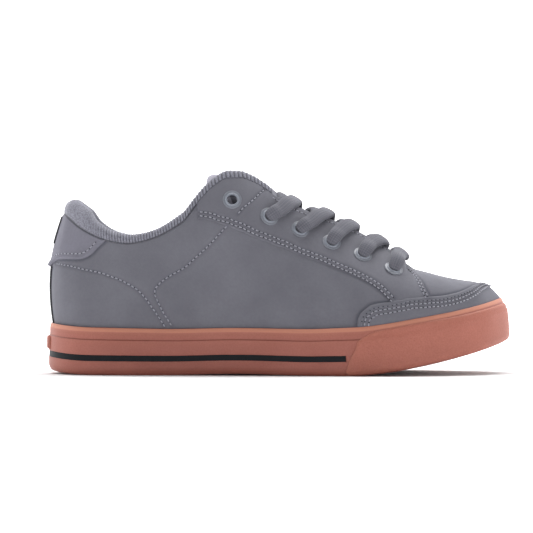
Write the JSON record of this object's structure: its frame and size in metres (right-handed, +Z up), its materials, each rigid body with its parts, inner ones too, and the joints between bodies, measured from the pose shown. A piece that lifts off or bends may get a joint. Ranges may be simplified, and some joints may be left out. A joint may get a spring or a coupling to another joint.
{
  "type": "skateboarding shoe",
  "caption": "Low grey skateboarding shoe for the right foot: suede-like upper with a padded knit collar, flat laces and a gum rubber cupsole with a dark side stripe.",
  "frame": {"origin": "centre of the bounding box on the ground plane under the sole", "axes": "+X from heel to toe, -Y towards the outer side of the right foot, +Z up from the ground"},
  "size_m": [0.2878, 0.1082, 0.1247],
  "materials": {
    "nubuck": "matte napped synthetic nubuck, cool grey",
    "knit": "ribbed knit, light cool grey",
    "lace": "woven polyester, grey",
    "gum": "satin gum rubber, reddish brown",
    "black_rubber": "satin black rubber",
    "webbing": "black woven webbing",
    "insole_cloth": "dark grey brushed cloth",
    "eyelet": "satin grey enamel"
  },
  "bodies": {
    "root": {"outsole": "gum", "toe_bumper": "gum", "sidewall_stripe": "black_rubber", "heel_plate": "gum", "insole": "insole_cloth", "upper": "nubuck", "eyestay_lateral": "nubuck", "eyestay_medial": "nubuck", "toe_guard": "nubuck", "heel_tab": "nubuck", "heel_strip": "webbing", "heel_patch": "webbing", "collar_padding": "knit", "tongue": "nubuck", "eyelet_lateral_1": "eyelet", "eyelet_lateral_2": "eyelet", "eyelet_lateral_3": "eyelet", "eyelet_lateral_4": "eyelet", "eyelet_lateral_5": "eyelet", "eyelet_lateral_6": "eyelet", "eyelet_medial_1": "eyelet", "eyelet_medial_2": "eyelet", "eyelet_medial_3": "eyelet", "eyelet_medial_4": "eyelet", "eyelet_medial_5": "eyelet", "eyelet_medial_6": "eyelet", "lace_bar": "lace", "lace_crossing_1": "lace", "lace_crossing_2": "lace", "lace_crossing_3": "lace", "lace_crossing_4": "lace"}
  },
  "joints": []
}
